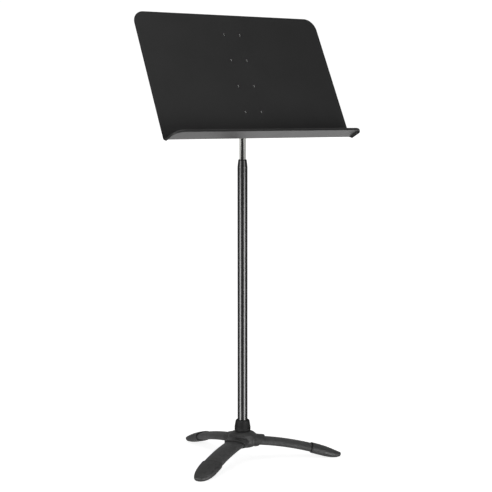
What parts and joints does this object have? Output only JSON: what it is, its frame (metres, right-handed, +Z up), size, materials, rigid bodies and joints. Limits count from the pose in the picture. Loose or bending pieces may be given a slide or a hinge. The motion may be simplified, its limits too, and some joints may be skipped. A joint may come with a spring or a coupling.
{
  "type": "music stand",
  "caption": "Orchestra music stand: tilting folded-sheet desk with a ledge, telescopic chrome mast in a black tube, and an arched three-legged base with boots.",
  "frame": {"origin": "under the middle of the stand's outline, at floor level; the pole's axis is at Y = -0.048 m", "axes": "+Z up along the pole; -Y towards the player, so +Y points behind the desk; +X to the player's right"},
  "size_m": [0.508, 0.3493, 0.995],
  "materials": {
    "hub_paint": "fine textured dark grey powder coat on a casting",
    "leg_paint": "fine textured dark grey powder coat on steel tube",
    "boot_rubber": "moulded black rubber, satin",
    "gloss_paint": "gloss black paint on steel tube",
    "collar_plastic": "gloss black moulded plastic",
    "black_plastic": "matt black ribbed plastic",
    "grey_nylon": "natural grey nylon",
    "white_nylon": "natural white nylon",
    "chrome_plate": "polished chrome plate",
    "zinc_steel": "bright zinc plate",
    "desk_paint": "semi-matt black powder coat with a very fine texture",
    "rivet_paint": "gloss black rivet heads"
  },
  "bodies": {
    "base": {"base_hub": "hub_paint", "hub_cap": "black_plastic", "leg_right": "leg_paint", "leg_rear": "leg_paint", "leg_front": "leg_paint", "leg_bolts": "zinc_steel", "leg_inserts": "zinc_steel", "boot_right": "boot_rubber", "boot_rear": "boot_rubber", "boot_front": "boot_rubber", "outer_tube": "gloss_paint", "top_collar": "collar_plastic"},
    "nut_ring": {"compression_ring": "grey_nylon"},
    "nut": {"base_nut": "black_plastic"},
    "clutch": {"clutch_bushing": "grey_nylon", "clutch_ring": "zinc_steel"},
    "mast": {"inner_tube": "chrome_plate", "guide_plug": "grey_nylon", "plug_pin": "zinc_steel", "tilt_head": "gloss_paint", "head_pin": "zinc_steel"},
    "desk": {"tilt_bolt": "zinc_steel", "friction_washers": "white_nylon", "flat_washers": "zinc_steel", "spring_washer": "zinc_steel", "lock_nut": "zinc_steel", "desk_bracket": "desk_paint", "desk_panel": "desk_paint", "desk_rivets": "rivet_paint"}
  },
  "joints": [
    {"name": "nut_travel", "type": "slide", "parent": "base", "child": "nut_ring", "axis": [0, 0, 1], "range_m": [0, 0.0061]},
    {"name": "nut_turn", "type": "hinge", "parent": "nut_ring", "child": "nut", "pos_m": [0, -0.048, 0.07], "axis": [0, 0, 1], "range_deg": [0, 720]},
    {"name": "mast_swivel", "type": "hinge", "parent": "base", "child": "clutch", "pos_m": [0, -0.048, 0.62], "axis": [0, 0, 1], "continuous": true},
    {"name": "mast_height", "type": "slide", "parent": "clutch", "child": "mast", "axis": [0, 0, 1], "range_m": [-0.08, 0.42]},
    {"name": "desk_tilt", "type": "hinge", "parent": "mast", "child": "desk", "pos_m": [0, -0.048, 0.796], "axis": [1, 0, 0], "range_deg": [-64.8, 25.2]}
  ],
  "couplings": [
    {"joint": "nut_travel", "follows": "nut_turn", "m_per_rad": 0.00047746}
  ]
}
